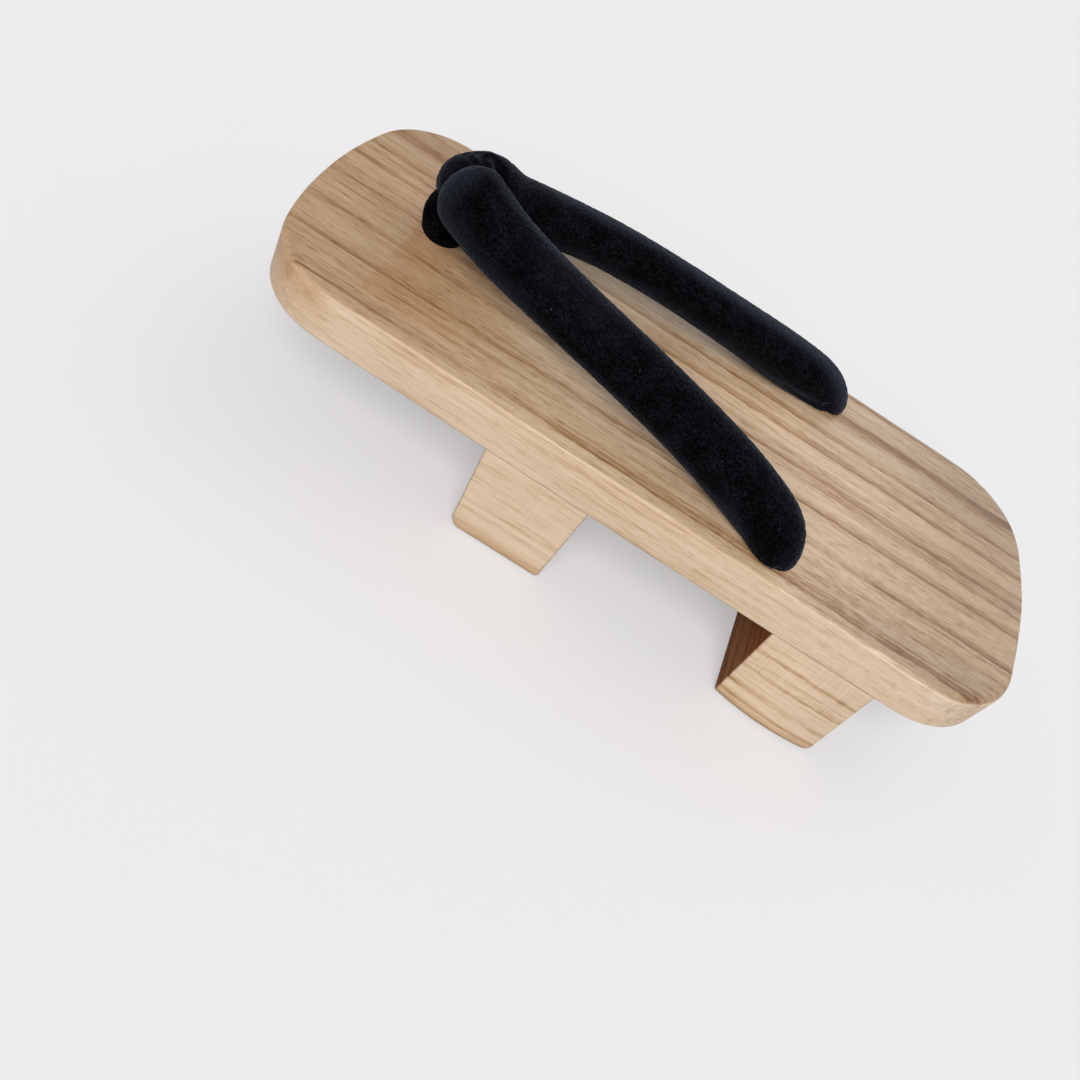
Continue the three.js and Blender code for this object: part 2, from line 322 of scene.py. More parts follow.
def make_tooth(tooth):
    """Glued tooth with rounded edges and foot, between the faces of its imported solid."""
    low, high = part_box(tooth["node"])
    reach = high.x / MM

    def corner(face, place, toward, height, margin):
        down = 1 - height / TOOTH_HEIGHT
        side = reach + face["flare"] * down - foot_inset(tooth["side_foot"], height) - TOOTH_EDGE - margin
        inward = face["lean"] * down + foot_inset(face["foot"], height) + TOOTH_EDGE + margin
        return np.array([side, place - toward * inward])

    def quarter(centre, turn):
        angles = (turn + np.linspace(0, 1, TOOTH_STEPS + 1)) * math.pi / 2
        return [centre + TOOTH_EDGE * np.array([math.cos(angle), math.sin(angle)]) for angle in angles]

    def half(height, margin):
        front = corner(tooth["front"], high.y / MM, 1, height, margin)
        rear = corner(tooth["rear"], low.y / MM, -1, height, margin)
        bow = tooth["bow"] * (1 - height / TOOTH_HEIGHT) ** 2
        side = []
        for share in np.linspace(0, 1, SIDE_STEPS + 1)[1:-1]:
            swell = 1 - (2 * share - 1) ** 2
            side.append(rear + share * (front - rear) + np.array([TOOTH_EDGE + bow * swell, 0]))
        return [*quarter(rear, -1), *side, *quarter(front, 0)]

    def ring(height, margin=0.0):
        right = [(x, y, height) for x, y in half(height, margin)]
        left = [(-x, y, height) for x, y, height in reversed(right)]
        return right + left

    tallest = max(tooth["side_foot"], tooth["front"]["foot"], tooth["rear"]["foot"])
    heights = [tallest * (step / FOOT_STEPS) ** 2 for step in range(FOOT_STEPS + 1)]
    rings = [ring(0, FLAT_MARGIN), *[ring(height) for height in heights], ring(TOOTH_HEIGHT)]
    piece = skin_over(tooth["node"].replace("tooth_", "wooden_tooth_"), rings)
    shade_by_angle(piece)
    return piece


def make_soft(node, name, cell):
    """Fine smooth skin over a padded solid of the frame, with its nap."""
    piece = add_object(name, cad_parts[node].data.copy())
    piece.data.materials.clear()
    mesh = bmesh.new()
    mesh.from_mesh(piece.data)
    bmesh.ops.remove_doubles(mesh, verts=mesh.verts, dist=MERGE_REACH * MM)
    mesh.to_mesh(piece.data)
    mesh.free()
    skin = piece.modifiers.new("skin", "REMESH")
    skin.mode = "VOXEL"
    skin.voxel_size = cell * MM
    smooth = piece.modifiers.new("smooth", "SMOOTH")
    smooth.factor = SMOOTH_FACTOR
    smooth.iterations = SMOOTH_ROUNDS
    settle(piece)
    press_creases(piece)
    keep_sheen_bands(piece)
    raise_nap(piece)
    piece.data.shade_smooth()
    return piece


def skin_rows(piece, kind):
    """The places or the normals of a skin's points, in rows."""
    values = np.empty(3 * len(piece.data.vertices))
    piece.data.vertices.foreach_get(kind, values)
    return values.reshape(-1, 3)


def push_skin(piece, heights):
    """Moves each point of a skin along its normal, by heights in millimetres."""
    places = skin_rows(piece, "co") + skin_rows(piece, "normal") * heights[:, None] * MM
    piece.data.vertices.foreach_set("co", places.ravel())
    piece.data.update()


def distance_to_path(points, path):
    """Distance from each point to a broken line."""
    nearest = np.full(len(points), np.inf)
    for start, end in zip(path[:-1], path[1:]):
        start = np.array(start)
        line = np.array(end) - start
        share = np.clip((points - start) @ line / (line @ line), 0, 1)
        nearest = np.minimum(nearest, np.linalg.norm(points - start - share[:, None] * line, axis=1))
    return nearest


def closeness(points, path, reach):
    """Share that falls smoothly from 1 on a broken line to 0 at a reach from it."""
    away = np.clip(distance_to_path(points, path) / reach, 0, 1)
    return (1 - away**2) ** 2


def keep_share(piece, name, shares):
    """Keeps a number for each point of a skin, for its finish to read."""
    layer = piece.data.attributes.new(name, "FLOAT", "POINT")
    layer.data.foreach_set("value", np.clip(shares, 0, 1))


def press_creases(piece):
    """Presses the folds into a skin as soft troughs, and keeps how deep each point lies in a fold."""
    points = skin_rows(piece, "co") / MM
    depths = sum(
        crease["depth"] * closeness(points, crease["path"], crease["width"])
        for crease in CREASES
    )
    push_skin(piece, -depths)
    keep_share(piece, "fold", depths)


def keep_sheen_bands(piece):
    """Keeps how strong the painted sheen is at each point."""
    points = skin_rows(piece, "co") / MM
    bands = [band["light"] * closeness(points, band["path"], band["reach"]) for band in PAINTED_SHEEN_BANDS]
    keep_share(piece, "painted_sheen", np.max(bands, axis=0))


def raise_nap(piece):
    """Moves the points of a velvet skin in and out a little, as the tips of its nap lie."""
    draw = np.random.default_rng(NAP_SEED)
    push_skin(piece, draw.uniform(-NAP_HEIGHT, NAP_HEIGHT, len(piece.data.vertices)))


def linear(red, green, blue):
    """Scene colour of a display colour given from 0 to 255."""
    def channel(level):
        share = level / 255
        if share <= 0.04045:
            return share / 12.92
        return ((share + 0.055) / 1.055) ** 2.4
    return (channel(red), channel(green), channel(blue), 1.0)


class Nodes:
    """Node tree that is built up step by step."""

    def __init__(self, tree):
        self.tree = tree

    def node(self, kind, inputs=(), **settings):
        """Adds a node, with its settings and its inputs as pairs of socket and value."""
        node = self.tree.nodes.new(kind)
        for key, value in settings.items():
            setattr(node, key, value)
        for key, value in inputs:
            self.feed(node, key, value)
        return node

    def feed(self, node, key, value):
        """Sets or links one input of a node."""
        if isinstance(value, bpy.types.NodeSocket):
            self.tree.links.new(value, node.inputs[key])
        else:
            node.inputs[key].default_value = value

    def axes(self, vector):
        """The three parts of a place or direction."""
        return self.node("ShaderNodeSeparateXYZ", [(0, vector)]).outputs

    def math(self, operation, *values):
        """Sum, product or other function of numbers."""
        return self.node("ShaderNodeMath", list(enumerate(values)), operation=operation).outputs[0]

    def ramp(self, value, stops):
        """Colour from a scale of stops."""
        node = self.node("ShaderNodeValToRGB", [(0, value)])
        elements = node.color_ramp.elements
        while len(elements) < len(stops):
            elements.new(1.0)
        for element, (position, colour) in zip(elements, stops):
            element.position = position
            element.color = colour
        return node.outputs[0]


class Finish(Nodes):
    """Material whose numbers are read by name: places, directions and noises."""

    def __init__(self, name):
        self.material = bpy.data.materials.new(name)
        self.material.use_nodes = True
        super().__init__(self.material.node_tree)
        self.shader = self.tree.nodes["Principled BSDF"]
        self.reads = {}

    def millimetres(self):
        """Place on the object in millimetres."""
        place = self.node("ShaderNodeTexCoord").outputs["Object"]
        return self.stretched(place, (1 / MM, 1 / MM, 1 / MM))

    def stretched(self, place, scale):
        """Place with each axis multiplied."""
        inputs = [(0, place), (1, scale)]
        return self.node("ShaderNodeVectorMath", inputs, operation="MULTIPLY").outputs[0]

    def read_noises(self, noises):
        """Makes noises readable by their names."""
        place = self.millimetres()
        for name, noise in noises.items():
            self.reads[name] = self.noise(place, **noise)

    def read_surface(self):
        """Makes the place on the object, and the way that its surface faces, readable by name."""
        self.reads["X"], self.reads["Y"], self.reads["Z"] = self.axes(self.millimetres())
        facing = self.axes(self.node("ShaderNodeNewGeometry").outputs["Normal"])
        self.reads["toward_toe"] = facing["Y"]
        self.reads["endwise"] = self.math("ABSOLUTE", facing["Y"])
        self.reads["upward"] = facing["Z"]

    def read_share(self, name):
        """Makes a number that is kept on the skin's points readable by its name."""
        self.reads[name] = self.node("ShaderNodeAttribute", attribute_name=name).outputs["Fac"]

    def noise(self, place, sizes, detail=2.0, rough=0.5, warp=0.0):
        """Soft noise from about 0 to 1, with spots of the given sizes along each axis."""
        vector = self.stretched(place, tuple(1 / size for size in sizes))
        inputs = [("Vector", vector), ("Scale", 1.0), ("Detail", detail), ("Roughness", rough)]
        inputs.append(("Distortion", warp))
        return self.node("ShaderNodeTexNoise", inputs).outputs[0]

    def span(self, value, start, end, low=0.0, high=1.0):
        """Smooth step of a value between two bounds."""
        bounds = [("From Min", start), ("From Max", end), ("To Min", low), ("To Max", high)]
        inputs = [("Value", value), *bounds]
        return self.node("ShaderNodeMapRange", inputs, interpolation_type="SMOOTHSTEP").outputs[0]

    def zone(self, rows):
        """Product of smooth steps, each row with what it reads and its bounds."""
        return self.product(*[self.span(self.reads[name], *bounds) for name, *bounds in rows])

    def total(self, *values):
        """Sum of several numbers."""
        result = values[0]
        for value in values[1:]:
            result = self.math("ADD", result, value)
        return result

    def product(self, *values):
        """Product of several numbers."""
        result = values[0]
        for value in values[1:]:
            result = self.math("MULTIPLY", result, value)
        return result

    def swing(self, name, reach):
        """Noise moved to swing about zero, by a reach to each side."""
        return self.math("MULTIPLY_ADD", self.reads[name], 2 * reach, -reach)

    def mix(self, share, first, second, kind="MIX"):
        """Mix of two colours."""
        inputs = [(0, share), (6, first), (7, second)]
        node = self.node("ShaderNodeMix", inputs, data_type="RGBA", blend_type=kind)
        return node.outputs[2]

    def tinted(self, colour, tints):
        """Colour with tints laid over it one after another, each in its own zone."""
        for row in tints.values():
            tint = self.mix(1.0, colour, row["tint"], "MULTIPLY")
            colour = self.mix(self.zone(row["zone"]), colour, tint)
        return colour

    def bump(self, height, distance, strength):
        """Relief on the shader's normal, with its full height in millimetres."""
        inputs = [("Height", height), ("Distance", distance * MM), ("Strength", strength)]
        self.feed(self.shader, "Normal", self.node("ShaderNodeBump", inputs).outputs[0])

    def set(self, **values):
        """Sets the shader's own inputs, with spaces in their names as underscores."""
        for key, value in values.items():
            self.feed(self.shader, key.replace("_", " "), value)


# Wood colours, from the palest fibres to the darkest ring
TOP_STOPS = [
    (0.0, linear(198, 174, 146)),
    (0.35, linear(178, 151, 121)),
    (0.65, linear(149, 114, 78)),
    (1.0, linear(117, 80, 45)),
]
SIDE_STOPS = [
    (0.0, linear(228, 206, 181)),
    (0.35, linear(215, 191, 164)),
    (0.65, linear(190, 160, 125)),
    (1.0, linear(143, 109, 75)),
]
# Pale colour of the arris: partly rubbed wear, partly a painted highlight along the edge
SCUFF_AND_HIGHLIGHT_COLOUR = linear(226, 208, 184)

# Tints and their zones. A row of a zone names what it reads, says where its smooth step starts and ends,
# and may add the values there, which are 0 and 1 otherwise
EDGE_TINT = (0.86, 0.86, 0.87, 1)
END_TINT = (0.92, 0.86, 0.78, 1)
END_FACES = ("endwise", 0.3, 0.9)
GAP_FACES = ("toward_toe", 0.8, 0.97)
TOP_TINTS = {
    "toe": {"tint": (0.8, 0.74, 0.68, 1), "zone": [("Y", 40, 100)]},
    "heel": {"tint": (0.775, 0.745, 0.7, 1), "zone": [("Y", -45, -120)]},
    "right_edge": {"tint": EDGE_TINT, "zone": [("X", 12, 44)]},
    "left_edge": {"tint": EDGE_TINT, "zone": [("X", -28, -46), ("Y", -45, -65)]},
    # Painted light: the top lifted paler between the straps, where the far strap's shadow falls
    "painted_light_between_straps": {
        "tint": (1.16, 1.18, 1.22, 1),
        "zone": [("X", 3, 14), ("Y", 12, -6), ("Y", -48, -30)],
    },
    # Painted shade: a warm darker patch on the top under the near strap at the toe, where the strap's
    # shadow falls
    "painted_warm_shade_patch": {
        "tint": (0.96, 0.85, 0.71, 1),
        "zone": [
            ("X", 0, -8), ("X", -48, -38), ("Y", 94.2, 93.2), ("Y", 40, 80),
            ("patchy", 0.3, 0.65, 0.45, 0.85),
        ],
    },
}
SIDE_TINTS = {
    "aged_heel": {"tint": (0.96, 0.985, 1.03, 1), "zone": [("Y", -20, -90), ("Z", 38, 46)]},
    "end_faces": {"tint": END_TINT, "zone": [END_FACES]},
    "toe_corner": {
        "tint": (0.8, 0.69, 0.58, 1),
        "zone": [("X", -30, -40), ("Y", 94, 104), ("Z", 36, 46, 0.25, 1.0)],
    },
}
TOOTH_TINTS = {
    "foot": {"tint": (0.8, 0.71, 0.6, 1), "zone": [("Z", 6.5, 2.5)]},
    "dull_heel": {"tint": (0.92, 0.925, 0.945, 1), "zone": [("Y", -58, -86)]},
    "rear_faces": {"tint": END_TINT, "zone": [("toward_toe", -0.8, -0.97)]},
    # Toe-facing faces of the teeth: darker end grain, and painted shade of the gap under the board
    "end_grain_and_painted_shade": {"tint": (0.7, 0.4, 0.22, 1), "zone": [GAP_FACES]},
    # Painted shade: the upper part of the toe-facing faces darker, in the shadow under the board
    "painted_shade_under_board": {"tint": (0.85, 0.62, 0.42, 1), "zone": [GAP_FACES, ("Z", 8, 26)]},
}

# Dark growth rings of the board: place is X at mid length, drift is the change in X from the toe to
# the heel, dark is the strength of the line, lead is how far the tone builds up before it and fade is
# how far it dies away after it, towards +X
BOARD_RINGS = [
    {"place": 50.2, "drift": 0.5, "dark": 0.25, "lead": 0.8, "fade": 4},
    {"place": 44.0, "drift": 0.5, "dark": 0.12, "lead": 0.8, "fade": 4},
    {"place": 36.8, "drift": 1.5, "dark": 0.46, "lead": 5, "fade": 5},
    {"place": 32.0, "drift": 1.0, "dark": 0.08, "lead": 4, "fade": 6},
    {"place": 22.9, "drift": 0.6, "dark": 0.35, "lead": 0.8, "fade": 6},
    {"place": 19.0, "drift": 0.6, "dark": 0.14, "lead": 3, "fade": 4},
    {"place": 13.1, "drift": 1.1, "dark": 0.42, "lead": 0.8, "fade": 6},
    {"place": 5.0, "drift": 0.5, "dark": 0.16, "lead": 4, "fade": 1.8},
    {"place": 3.3, "drift": 0.5, "dark": 0.08, "lead": 0.8, "fade": 3},
    {"place": -0.7, "drift": 0.0, "dark": 0.46, "lead": 0.8, "fade": 6},
    {"place": -1.6, "drift": 0.2, "dark": 0.16, "lead": 8, "fade": 1.4},
    {"place": -5.0, "drift": 0.5, "dark": 0.14, "lead": 0.8, "fade": 3},
    {"place": -15.3, "drift": 2.2, "dark": 0.33, "lead": 0.8, "fade": 6},
    {"place": -30.0, "drift": 1.6, "dark": 0.42, "lead": 0.8, "fade": 5},
    {"place": -32.2, "drift": 1.6, "dark": 0.18, "lead": 0.8, "fade": 2},
    {"place": -35.6, "drift": 0.5, "dark": 0.15, "lead": 4, "fade": 2},
    {"place": -39.8, "drift": 0.0, "dark": 0.13, "lead": 1.5, "fade": 3},
    {"place": -44.0, "drift": -2.0, "dark": 0.2, "lead": 0.8, "fade": 2.4},
    {"place": -45.7, "drift": -2.0, "dark": 0.3, "lead": 0.8, "fade": 1.6},
    {"place": -47.4, "drift": -2.0, "dark": 0.36, "lead": 0.8, "fade": 2.2},
    {"place": -47.6, "drift": -2.0, "dark": 0.16, "lead": 0.8, "fade": 8},
]
RING_CREST = 0.4
RING_FALL = 2.0
DRIFT_LENGTH = 200

# Noises of the board by the size of their spots, and how far some of them push the rings aside
BOARD_NOISES = {
    "fibres": {"sizes": (0.6, 10, 0.6), "detail": 3, "rough": 0.65},
    "streaks": {"sizes": (1.7, 42, 1.7), "rough": 0.6},
    "bands": {"sizes": (7, 150, 7), "detail": 1},
    "dashes": {"sizes": (0.4, 4.5, 0.4), "detail": 1},
    "lines": {"sizes": (1.0, 130, 30), "detail": 1},
    "flecks": {"sizes": (1.5, 3.6, 1.5), "warp": 0.8},
    "slow": {"sizes": (60, 90, 60), "detail": 1},
    "quick": {"sizes": (6, 22, 6)},
    "patchy": {"sizes": (9, 45, 9)},
    "scuff_and_highlight_breaks": {"sizes": (1.2, 8, 1.2)},
}
BOARD_WANDER = {"slow": 1.0, "quick": 0.7, "fibres": 0.6}

# Zones of the board's grain
DASHES = [("dashes", 0.56, 0.72)]
LINES = [("lines", 0.53, 0.7)]
BOARD_RING_STRENGTH = [
    ("patchy", 0.3, 0.65, 0.7, 1.2), ("Y", 70, -70, 0.8, 1.25), ("upward", 0.55, 0.95, 0.35, 1.0),
]
FINE_STRENGTH = [("upward", 0.75, 0.98, 0.3, 1.0)]
FLECKED_HEEL = [("X", -14, -20), ("Y", -30, -60)]
FLECKED_SIDE = [("Y", 0, -80, 0.2, 1.0)]
END_GRAIN = [(*END_FACES, 1.0, 0.4)]
UPPER_SIDE = [("Z", 42, 48), ("Y", -40, 20)]
# Share of the side colour by how upright the surface faces: the sides are partly paler wood and partly
# painted light
UPRIGHT_LIT_SIDES = [("upward", 0.62, 0.3)]
# The arris painted paler and broken up along its length: partly rubbed wear, partly a painted highlight
# line
WORN_AND_HIGHLIT_ARRIS = [
    ("upward", 0.97, 0.8), ("upward", 0.2, 0.5), ("scuff_and_highlight_breaks", 0.5, 0.66),
    ("Y", 10, -70, 0.15, 0.42), ("Y", -96, -106, 1.0, 0.0), (*END_FACES, 1.0, 0.0),
]
BOARD_GLOSS = [("streaks", 0.25, 0.75, 0.38, 0.52)]

# Shades of the board, from 0 for the palest to 1 for the darkest: a base and what each noise adds
TOP_SHADE = {"base": 0.2, "fibres": 0.5, "dashes": 0.26, "streaks": 0.26, "bands": 0.16, "lines": 0.13}
TOP_FLECKS = 0.1
HEEL_FLECKS = 0.18
SIDE_SHADE = {"base": 0.28, "fibres": 0.4, "streaks": 0.42, "dashes": 0.14, "lines": 0.1, "flecks": 0.26}
UPPER_SHADE = 0.1
BOARD_RELIEF = {"streaks": 0.5, "rings": -0.25, "dashes": -0.5}
BOARD_BUMP = {"distance": 0.06, "strength": 0.6}


def ring_lines(finish, axis, wander, rings):
    """Darkness of growth rings that lie across an axis, wander with noises and run along the sandal."""
    pushes = [finish.swing(name, reach) for name, reach in wander.items()]
    across = finish.total(finish.reads[axis], *pushes)
    lines = []
    for ring in rings:
        line = finish.math("MULTIPLY_ADD", finish.reads["Y"], ring["drift"] / DRIFT_LENGTH, across)
        rise = finish.span(line, ring["place"] - ring["lead"], ring["place"] + RING_CREST)
        fall = finish.span(line, ring["place"], ring["place"] + ring["fade"], 1.0, 0.0)
        lines.append(finish.product(rise, finish.math("POWER", fall, RING_FALL), ring["dark"]))
    return finish.total(*lines)


def board_finish():
    """Planed quarter-sawn board: a burnished top with straight grain, and paler sides, partly paler wood
    and partly painted light.
    """
    finish = Finish("planed_board_wood")
    finish.read_surface()
    finish.read_noises(BOARD_NOISES)
    dashes = finish.zone(DASHES)
    lines = finish.zone(LINES)
    rings = ring_lines(finish, "X", BOARD_WANDER, BOARD_RINGS)
    rings = finish.product(rings, finish.zone(BOARD_RING_STRENGTH))

    flecked = finish.math("MULTIPLY_ADD", finish.zone(FLECKED_HEEL), HEEL_FLECKS, TOP_FLECKS)
    fine = finish.total(
        finish.swing("fibres", TOP_SHADE["fibres"]),
        finish.product(finish.swing("flecks", 1.0), flecked),
        finish.product(dashes, TOP_SHADE["dashes"]),
    )
    top_shade = finish.total(
        TOP_SHADE["base"],
        finish.product(fine, finish.zone(FINE_STRENGTH)),
        finish.swing("streaks", TOP_SHADE["streaks"]),
        finish.swing("bands", TOP_SHADE["bands"]),
        finish.product(lines, TOP_SHADE["lines"]),
        rings,
    )
    top = finish.tinted(finish.ramp(top_shade, TOP_STOPS), TOP_TINTS)

    grain = finish.total(
        finish.swing("fibres", SIDE_SHADE["fibres"]),
        finish.swing("streaks", SIDE_SHADE["streaks"]),
        finish.product(dashes, SIDE_SHADE["dashes"]),
        finish.product(lines, SIDE_SHADE["lines"]),
        finish.product(finish.swing("flecks", SIDE_SHADE["flecks"]), finish.zone(FLECKED_SIDE)),
        rings,
    )
    side_shade = finish.total(
        SIDE_SHADE["base"],
        finish.product(grain, finish.zone(END_GRAIN)),
        finish.product(finish.zone(UPPER_SIDE), UPPER_SHADE),
    )
    side = finish.tinted(finish.ramp(side_shade, SIDE_STOPS), SIDE_TINTS)

    # Sides paler than the top: partly paler wood, partly painted light
    colour = finish.mix(finish.zone(UPRIGHT_LIT_SIDES), top, side)
    # Painted highlight on the arris, together with real rubbed wear
    finish.set(Base_Color=finish.mix(finish.zone(WORN_AND_HIGHLIT_ARRIS), colour, SCUFF_AND_HIGHLIGHT_COLOUR))
    finish.set(Roughness=finish.zone(BOARD_GLOSS), Specular_IOR_Level=0.5)
    relief = finish.total(
        finish.reads["fibres"],
        finish.product(finish.reads["streaks"], BOARD_RELIEF["streaks"]),
        finish.product(rings, BOARD_RELIEF["rings"]),
        finish.product(dashes, BOARD_RELIEF["dashes"]),
    )
    finish.bump(relief, **BOARD_BUMP)
    return finish.material


# Growth rings of the teeth: as those of the board, with place as Z at mid length and fade towards +Z
TOOTH_RINGS = {
    "tooth_front": [
        {"place": 27.5, "drift": 0.6, "dark": 0.1, "lead": 0.8, "fade": 3},
        {"place": 21.0, "drift": -0.4, "dark": 0.08, "lead": 0.8, "fade": 3},
        {"place": 13.5, "drift": 0.5, "dark": 0.12, "lead": 0.8, "fade": 4},
        {"place": 6.0, "drift": 0.2, "dark": 0.1, "lead": 0.8, "fade": 3},
    ],
    "tooth_rear": [
        {"place": 28.5, "drift": 1.0, "dark": 0.12, "lead": 0.8, "fade": 2},
        {"place": 24.3, "drift": 2.0, "dark": 0.34, "lead": 0.8, "fade": 3},
        {"place": 20.5, "drift": 2.0, "dark": 0.26, "lead": 0.8, "fade": 2},
        {"place": 16.6, "drift": 2.0, "dark": 0.34, "lead": 0.8, "fade": 3.4},
        {"place": 9.0, "drift": 2.0, "dark": 0.4, "lead": 1.2, "fade": 3.2},
        {"place": 4.0, "drift": 1.0, "dark": 0.45, "lead": 0.8, "fade": 2},
    ],
}

# Noises of the teeth, with the saw marks of each on its upper part
TOOTH_NOISES = {
    "fibres": {"sizes": (2.5, 7, 0.5), "detail": 3, "rough": 0.65},
    "streaks": {"sizes": (30, 30, 1.6), "rough": 0.6},
    "quick": {"sizes": (12, 9, 9)},
    "saw": {"sizes": (30, 0.8, 11)},
    "patchy": {"sizes": (20, 16, 5)},
}
TOOTH_WANDER = {"quick": 0.9, "fibres": 0.5}
TOOTH_RING_STRENGTH = [("patchy", 0.3, 0.65, 0.7, 1.3)]
SAWN_PART = [("Z", 12, 20)]
SAW_MARKS = {"tooth_front": 0.1, "tooth_rear": 0.22}
TOOTH_SHADE = {"base": 0.28, "fibres": 0.42, "streaks": 0.42}
TOOTH_RELIEF = {"rings": -0.3, "sawn": 1.2}
TOOTH_BUMP = {"distance": 0.07, "strength": 0.6}


def tooth_finish(node):
    """Sawn tooth with its growth rings lying flat and fine saw marks."""
    finish = Finish(node.replace("tooth_", "sawn_wood_"))
    finish.read_surface()
    finish.read_noises(TOOTH_NOISES)
    rings = ring_lines(finish, "Z", TOOTH_WANDER, TOOTH_RINGS[node])
    rings = finish.product(rings, finish.zone(TOOTH_RING_STRENGTH))
    sawn = finish.product(finish.zone(SAWN_PART), finish.swing("saw", SAW_MARKS[node]))
    shade = finish.total(
        TOOTH_SHADE["base"],
        finish.swing("fibres", TOOTH_SHADE["fibres"]),
        finish.swing("streaks", TOOTH_SHADE["streaks"]),
        sawn,
        rings,
    )
    finish.set(Base_Color=finish.tinted(finish.ramp(shade, SIDE_STOPS), TOOTH_TINTS))
    finish.set(Roughness=0.6, Specular_IOR_Level=0.05)
    relief = finish.total(
        finish.reads["fibres"],
        finish.product(rings, TOOTH_RELIEF["rings"]),
        finish.product(sawn, TOOTH_RELIEF["sawn"]),
    )
    finish.bump(relief, **TOOTH_BUMP)
    return finish.material


# Velvet colours: deep and pale pile, painted sheen where light catches the nap, painted shade in the folds,
# and lint
VELVET_DEEP = (0.0003, 0.0003, 0.0006, 1)
VELVET_PALE = (0.0063, 0.0061, 0.0086, 1)
PAINTED_SHEEN_COLOUR = (0.0205, 0.0245, 0.037, 1)
FOLD_SHADE_COLOUR = (0.0004, 0.0004, 0.0006, 1)
LINT_COLOUR = (0.022, 0.022, 0.026, 1)
SHEEN_COLOUR = (0.66, 0.75, 1.0, 1)
STRAP_SHEEN = 0.095
# Sheen of the toe post turned down as painted shade, for the post lies in shadow
POST_SHEEN = 0.008

# Noises of the velvet, how its tone is made up of them, and the zones of its colours
VELVET_NOISES = {
    "nap": {"sizes": (0.7, 0.7, 0.7), "rough": 0.7},
    "patches": {"sizes": (5, 7, 5), "detail": 3, "rough": 0.6},
    "lint": {"sizes": (0.9, 0.9, 0.9), "detail": 0},
}
VELVET_TONE = {"nap": 0.65, "patches": 0.35}
PALE_PILE = (0.44, 0.66)
SHEEN_ON_NAP_TIPS = [("nap", 0.3, 0.75, 0.4, 1.0)]
FOLD_SHADE = [("fold", 0.1, 0.8)]
LINT = [("lint", 0.81, 0.88)]
NAP_BUMP = {"distance": 0.4, "strength": 0.8}


def velvet_finish(name, sheen):
    """Black cotton velvet with a short nap, bands of painted sheen, painted shade in the folds and a little
    lint.
    """
    finish = Finish(name)
    finish.read_noises(VELVET_NOISES)
    finish.read_share("painted_sheen")
    finish.read_share("fold")
    tone = finish.total(*[finish.product(finish.reads[part], share) for part, share in VELVET_TONE.items()])
    pile = finish.mix(finish.span(tone, *PALE_PILE), VELVET_DEEP, VELVET_PALE)
    # Painted sheen: the pile painted paler along the bands, varied by the nap
    painted_sheen = finish.product(finish.reads["painted_sheen"], finish.zone(SHEEN_ON_NAP_TIPS))
    pile = finish.mix(painted_sheen, pile, PAINTED_SHEEN_COLOUR)
    # Painted shade: the pile darker where it lies deep in a fold
    pile = finish.mix(finish.zone(FOLD_SHADE), pile, FOLD_SHADE_COLOUR)
    finish.set(Base_Color=finish.mix(finish.zone(LINT), pile, LINT_COLOUR))
    finish.set(Roughness=0.85, Specular_IOR_Level=0.02)
    finish.set(Sheen_Weight=sheen, Sheen_Roughness=0.42, Sheen_Tint=SHEEN_COLOUR)
    finish.bump(finish.reads["nap"], **NAP_BUMP)
    return finish.material


def dress(piece, material, node):
    """Gives a piece its finish and its place in the frame."""
    piece.data.materials.clear()
    piece.data.materials.append(material)
    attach(piece, "root")
    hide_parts(node)


# Camera of the photograph's view: its place, its turn in degrees, its lens and the nearest thing it sees
CAMERA_PLACE = (-262.83658, 37.82574, 230.2858)
CAMERA_TURN = {"azimuth": -96.1126, "elevation": 45.3638, "roll": 36.5405}
CAMERA_LENS = 34.838
CAMERA_SENSOR = 36
CAMERA_NEAR = 10

# Soft lights: direction towards the light, strength, angular size in degrees and colour
LIGHTS = [
    {
        "name": "window_light",
        "from": (0.7, -0.45, 0.55),
        "power": 0.8,
        "size": 60,
        "colour": (0.86, 0.93, 1.0),
    },
    {
        "name": "room_light",
        "from": (-0.74, 0.03, 0.67),
        "power": 3.3,
        "size": 40,
        "colour": (1.0, 0.98, 0.95),
    },
]

# Light from around, from straight down at 0 to straight up at 1: dim warm ground, grey horizon, white sky
SKY_STRENGTH = 0.42
SKY_STOPS = [
    (0.48, (0.1, 0.045, 0.02, 1)),
    (0.5, (0.3, 0.28, 0.27, 1)),
    (0.72, (1.0, 1.0, 1.0, 1)),
]

# Studio: a round floor whose glow evens out far from the sandal, and a cove up to a wall all round it
MIDDLE = (0, 0)
STUDIO_SIDES = 96
FLOOR_REACH = 2500
FLOOR_EVEN = (1500, 2400)
FLOOR_COLOUR = linear(173, 172, 173)
FLOOR_GLOW = 0.34
COVE_RADIUS = 1000
COVE_STEPS = 12
WALL_HEIGHT = 5000
WALL_GLOW = 0.85
GLOW_COLOUR = (1, 0.99, 1, 1)
BLACK = (0, 0, 0, 1)


def make_camera():
    """Camera at the photograph's place, turned and rolled as it was."""
    azimuth, elevation, roll = (math.radians(angle) for angle in CAMERA_TURN.values())
    data = bpy.data.cameras.new("camera")
    data.lens = CAMERA_LENS
    data.sensor_width = CAMERA_SENSOR
    data.clip_start = CAMERA_NEAR * MM
    camera = add_object("camera", data)
    turn = Matrix.Rotation(azimuth, 4, "Z") @ Matrix.Rotation(math.pi / 2 - elevation, 4, "X")
    turn = turn @ Matrix.Rotation(roll, 4, "Z")
    camera.matrix_world = Matrix.Translation(Vector(CAMERA_PLACE) * MM) @ turn
    bpy.context.scene.camera = camera


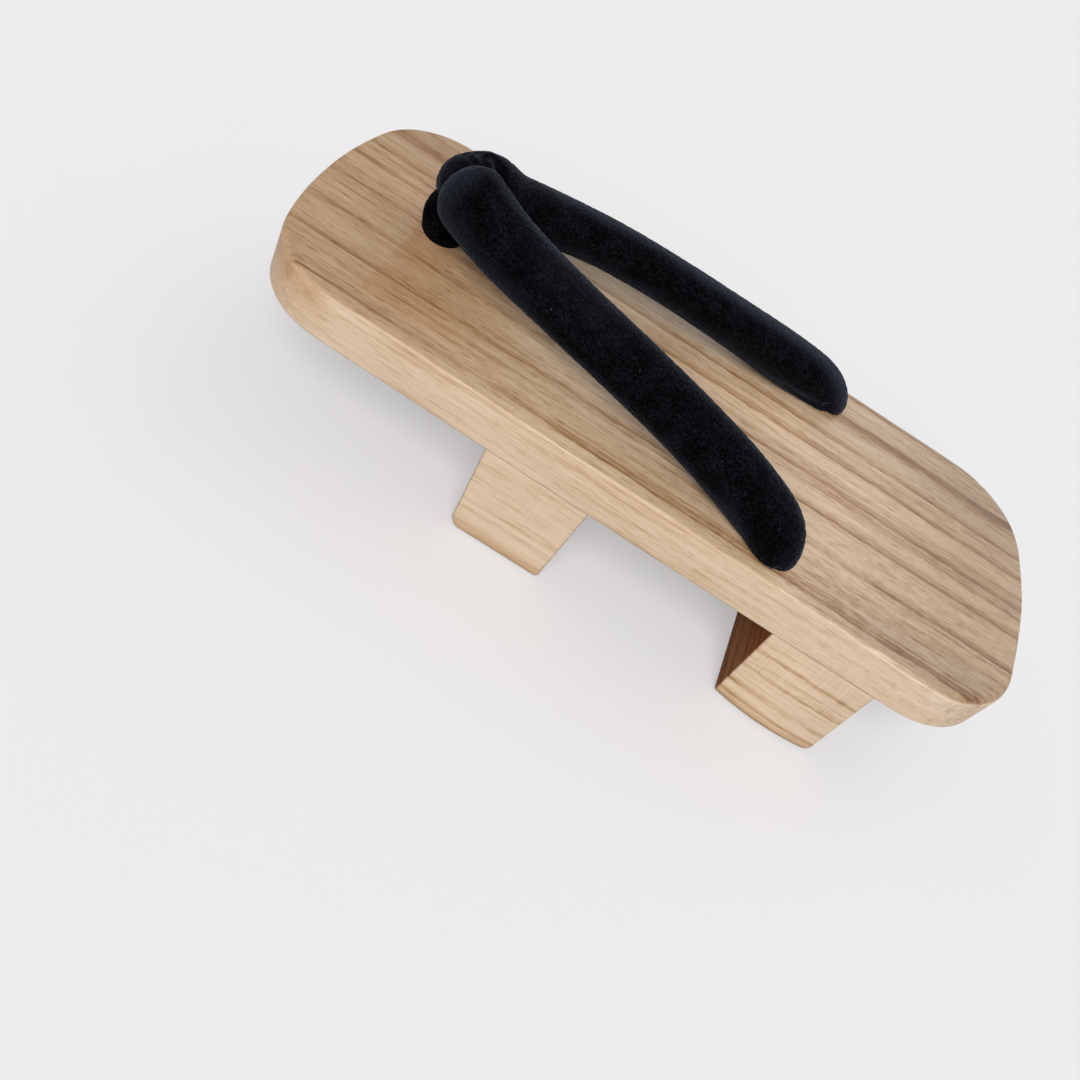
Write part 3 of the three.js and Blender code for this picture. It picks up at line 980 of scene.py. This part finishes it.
def make_lights():
    """Large soft lights and an even sky over a dim ground."""
    for light in LIGHTS:
        data = bpy.data.lights.new(light["name"], "SUN")
        data.energy = light["power"]
        data.angle = math.radians(light["size"])
        data.color = light["colour"]
        lamp = add_object(light["name"], data)
        lamp.rotation_euler = Vector(light["from"]).to_track_quat("Z", "Y").to_euler()
    world = bpy.data.worlds.new("studio")
    bpy.context.scene.world = world
    world.use_nodes = True
    sky = Nodes(world.node_tree)
    direction = sky.node("ShaderNodeTexCoord").outputs["Generated"]
    height = sky.math("MULTIPLY_ADD", sky.axes(direction)["Z"], 0.5, 0.5)
    background = sky.tree.nodes["Background"]
    sky.feed(background, "Color", sky.ramp(height, SKY_STOPS))
    sky.feed(background, "Strength", SKY_STRENGTH)


def studio_ring(radius, height):
    """Level ring of points round the middle of the studio."""
    return level_ring(MIDDLE, radius, height, STUDIO_SIDES)


def make_floor():
    """Plain pale floor that throws no light back on the sandal."""
    floor = mesh_object("floor", studio_ring(FLOOR_REACH, 0), [list(range(STUDIO_SIDES))])
    finish = Finish("pale_floor")
    away = finish.node("ShaderNodeVectorMath", [(0, finish.millimetres())], operation="LENGTH")
    even = finish.span(away.outputs["Value"], *FLOOR_EVEN)
    finish.set(Base_Color=finish.mix(even, FLOOR_COLOUR, BLACK))
    finish.set(Emission_Strength=finish.math("MULTIPLY_ADD", even, WALL_GLOW - FLOOR_GLOW, FLOOR_GLOW))
    finish.set(Emission_Color=GLOW_COLOUR, Roughness=0.9, Specular_IOR_Level=0.0)
    floor.data.materials.append(finish.material)
    floor.visible_diffuse = False


def make_backdrop():
    """Pale wall that rises from the floor in a cove, seen but without any effect on the light."""
    rings = []
    for step in range(COVE_STEPS + 1):
        angle = step / COVE_STEPS * math.pi / 2
        out = COVE_RADIUS * math.sin(angle)
        rings.append(studio_ring(FLOOR_REACH + out, COVE_RADIUS * (1 - math.cos(angle))))
    rings.append(studio_ring(FLOOR_REACH + COVE_RADIUS, WALL_HEIGHT))
    points = [point for ring in rings for point in ring]
    wall = mesh_object("backdrop", points, round_faces(STUDIO_SIDES, len(rings)))
    finish = Finish("pale_wall")
    finish.set(Base_Color=BLACK, Roughness=1.0, Specular_IOR_Level=0.0)
    finish.set(Emission_Color=GLOW_COLOUR, Emission_Strength=WALL_GLOW)
    wall.data.materials.append(finish.material)
    wall.visible_diffuse = False
    wall.visible_glossy = False
    wall.visible_shadow = False


make_camera()
make_lights()
make_floor()
make_backdrop()
bpy.context.scene.view_settings.view_transform = "Standard"

dress(make_board(), board_finish(), "dai")
for tooth in TEETH:
    dress(make_tooth(tooth), tooth_finish(tooth["node"]), tooth["node"])

straps = make_soft("hanao", "velvet_straps", STRAP_CELL)
dress(straps, velvet_finish("black_velvet", STRAP_SHEEN), "hanao")
# The toe post's velvet has its sheen turned down: painted shade
post = make_soft("maetsubo", "velvet_toe_post", POST_CELL)
dress(post, velvet_finish("velvet_with_painted_shade", POST_SHEEN), "maetsubo")
